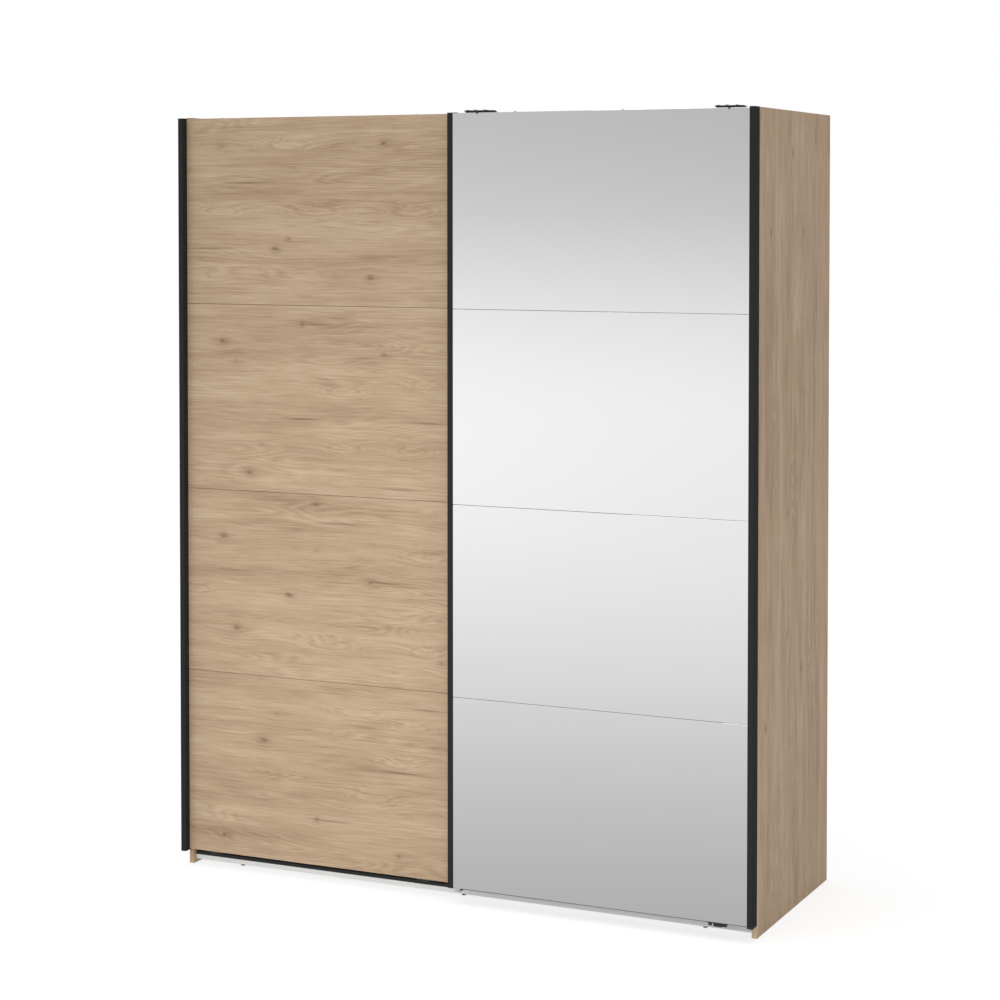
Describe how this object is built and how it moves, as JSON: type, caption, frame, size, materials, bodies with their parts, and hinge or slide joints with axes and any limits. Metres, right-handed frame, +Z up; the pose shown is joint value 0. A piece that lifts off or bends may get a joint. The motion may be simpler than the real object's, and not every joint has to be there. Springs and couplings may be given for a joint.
{
  "type": "sliding door wardrobe",
  "caption": "Wardrobe with two doors that hang from a double track and slide past each other: a wood-clad rear door and a mirrored front door, with shelves and a hanging rail inside.",
  "frame": {"origin": "on the floor, in the middle of the whole outline", "axes": "+Z up, +Y from the doors to the back, +X to the right when facing the doors"},
  "size_m": [1.782, 0.676, 2.2138],
  "materials": {
    "carcass_wood": "melamine with a light hickory print, matt",
    "door_wood": "melamine with a light hickory print, level grain, matt",
    "interior_melamine": "light grey melamine, matt",
    "back_hardboard": "lacquered hardboard",
    "carrier_board": "raw hardboard",
    "beech": "raw beech",
    "white_plastic": "natural plastic",
    "black_plastic": "fine texture",
    "grey_strip": "satin",
    "brown_strip": "satin",
    "wheel_plastic": "smooth, hard",
    "rubber_stop": "soft",
    "steel": "zinc plated",
    "zinc": "die-cast zinc",
    "chrome_tube": "polished",
    "track_aluminium": "mill finish",
    "black_profile": "anthracite powder coat, satin",
    "black_steel": "black powder coat",
    "mirror_glass": "silvered float glass"
  },
  "bodies": {
    "carcass": {"side_panel_left": "carcass_wood", "side_panel_right": "carcass_wood", "top_panel": "interior_melamine", "bottom_panel": "interior_melamine", "centre_partition": "interior_melamine", "hat_shelf_left": "interior_melamine", "hat_shelf_right": "interior_melamine", "shelf_right_1": "interior_melamine", "shelf_right_2": "interior_melamine", "shelf_right_3": "interior_melamine", "back_panel_left": "back_hardboard", "back_panel_right": "back_hardboard", "back_panel_joiner": "white_plastic", "back_panel_nails": "steel", "cam_bolts": "steel", "cam_locks": "zinc", "dowels": "beech", "shelf_pins": "steel", "hanging_rail": "chrome_tube", "hanging_rail_sockets": "zinc", "hanging_rail_socket_screws": "steel", "top_track": "track_aluminium", "bottom_guide_rail": "black_plastic", "track_screws": "steel", "track_end_stops": "rubber_stop", "floor_glides": "black_plastic"},
    "wood_door": {"wood_door_board_1": "door_wood", "wood_door_board_2": "door_wood", "wood_door_board_3": "door_wood", "wood_door_board_4": "door_wood", "wood_door_joint_strips": "brown_strip", "wood_door_grip_profile": "black_profile", "wood_door_edge_profile": "black_profile", "wood_door_end_caps": "black_plastic", "wood_door_hangers": "black_steel", "wood_door_axles": "steel", "wood_door_guides": "black_plastic", "wood_door_screws": "steel"},
    "mirror_door": {"mirror_pane_1": "mirror_glass", "mirror_pane_2": "mirror_glass", "mirror_pane_3": "mirror_glass", "mirror_pane_4": "mirror_glass", "mirror_carrier_boards": "carrier_board", "mirror_door_joint_strips": "grey_strip", "mirror_door_grip_profile": "black_profile", "mirror_door_edge_profile": "black_profile", "mirror_door_end_caps": "black_plastic", "mirror_door_hangers": "black_steel", "mirror_door_axles": "steel", "mirror_door_guide_right": "black_plastic", "mirror_door_guide_left": "grey_strip", "mirror_door_screws": "steel"},
    "wood_door_wheel_1": {"wood_door_wheel_1": "wheel_plastic"},
    "wood_door_wheel_2": {"wood_door_wheel_2": "wheel_plastic"},
    "wood_door_wheel_3": {"wood_door_wheel_3": "wheel_plastic"},
    "wood_door_wheel_4": {"wood_door_wheel_4": "wheel_plastic"},
    "mirror_door_wheel_1": {"mirror_door_wheel_1": "wheel_plastic"},
    "mirror_door_wheel_2": {"mirror_door_wheel_2": "wheel_plastic"},
    "mirror_door_wheel_3": {"mirror_door_wheel_3": "wheel_plastic"},
    "mirror_door_wheel_4": {"mirror_door_wheel_4": "wheel_plastic"}
  },
  "joints": [
    {"name": "wood_door_slide", "type": "slide", "parent": "carcass", "child": "wood_door", "axis": [1, 0, 0], "range_m": [0, 0.85]},
    {"name": "mirror_door_slide", "type": "slide", "parent": "carcass", "child": "mirror_door", "axis": [1, 0, 0], "range_m": [-0.85, 0]},
    {"name": "wood_door_wheel_1_roll", "type": "hinge", "parent": "wood_door", "child": "wood_door_wheel_1", "pos_m": [-0.8265, -0.271, 2.1878], "axis": [0, 1, 0], "continuous": true},
    {"name": "wood_door_wheel_2_roll", "type": "hinge", "parent": "wood_door", "child": "wood_door_wheel_2", "pos_m": [-0.7915, -0.271, 2.1878], "axis": [0, 1, 0], "continuous": true},
    {"name": "wood_door_wheel_3_roll", "type": "hinge", "parent": "wood_door", "child": "wood_door_wheel_3", "pos_m": [-0.0955, -0.271, 2.1878], "axis": [0, 1, 0], "continuous": true},
    {"name": "wood_door_wheel_4_roll", "type": "hinge", "parent": "wood_door", "child": "wood_door_wheel_4", "pos_m": [-0.0605, -0.271, 2.1878], "axis": [0, 1, 0], "continuous": true},
    {"name": "mirror_door_wheel_1_roll", "type": "hinge", "parent": "mirror_door", "child": "mirror_door_wheel_1", "pos_m": [0.0605, -0.249, 2.2008], "axis": [0, 1, 0], "continuous": true},
    {"name": "mirror_door_wheel_2_roll", "type": "hinge", "parent": "mirror_door", "child": "mirror_door_wheel_2", "pos_m": [0.0955, -0.249, 2.2008], "axis": [0, 1, 0], "continuous": true},
    {"name": "mirror_door_wheel_3_roll", "type": "hinge", "parent": "mirror_door", "child": "mirror_door_wheel_3", "pos_m": [0.7915, -0.249, 2.2008], "axis": [0, 1, 0], "continuous": true},
    {"name": "mirror_door_wheel_4_roll", "type": "hinge", "parent": "mirror_door", "child": "mirror_door_wheel_4", "pos_m": [0.8265, -0.249, 2.2008], "axis": [0, 1, 0], "continuous": true}
  ],
  "couplings": [
    {"joint": "wood_door_wheel_1_roll", "follows": "wood_door_slide", "rad_per_m": 86.957},
    {"joint": "wood_door_wheel_2_roll", "follows": "wood_door_slide", "rad_per_m": 86.957},
    {"joint": "wood_door_wheel_3_roll", "follows": "wood_door_slide", "rad_per_m": 86.957},
    {"joint": "wood_door_wheel_4_roll", "follows": "wood_door_slide", "rad_per_m": 86.957},
    {"joint": "mirror_door_wheel_1_roll", "follows": "mirror_door_slide", "rad_per_m": 86.957},
    {"joint": "mirror_door_wheel_2_roll", "follows": "mirror_door_slide", "rad_per_m": 86.957},
    {"joint": "mirror_door_wheel_3_roll", "follows": "mirror_door_slide", "rad_per_m": 86.957},
    {"joint": "mirror_door_wheel_4_roll", "follows": "mirror_door_slide", "rad_per_m": 86.957}
  ]
}
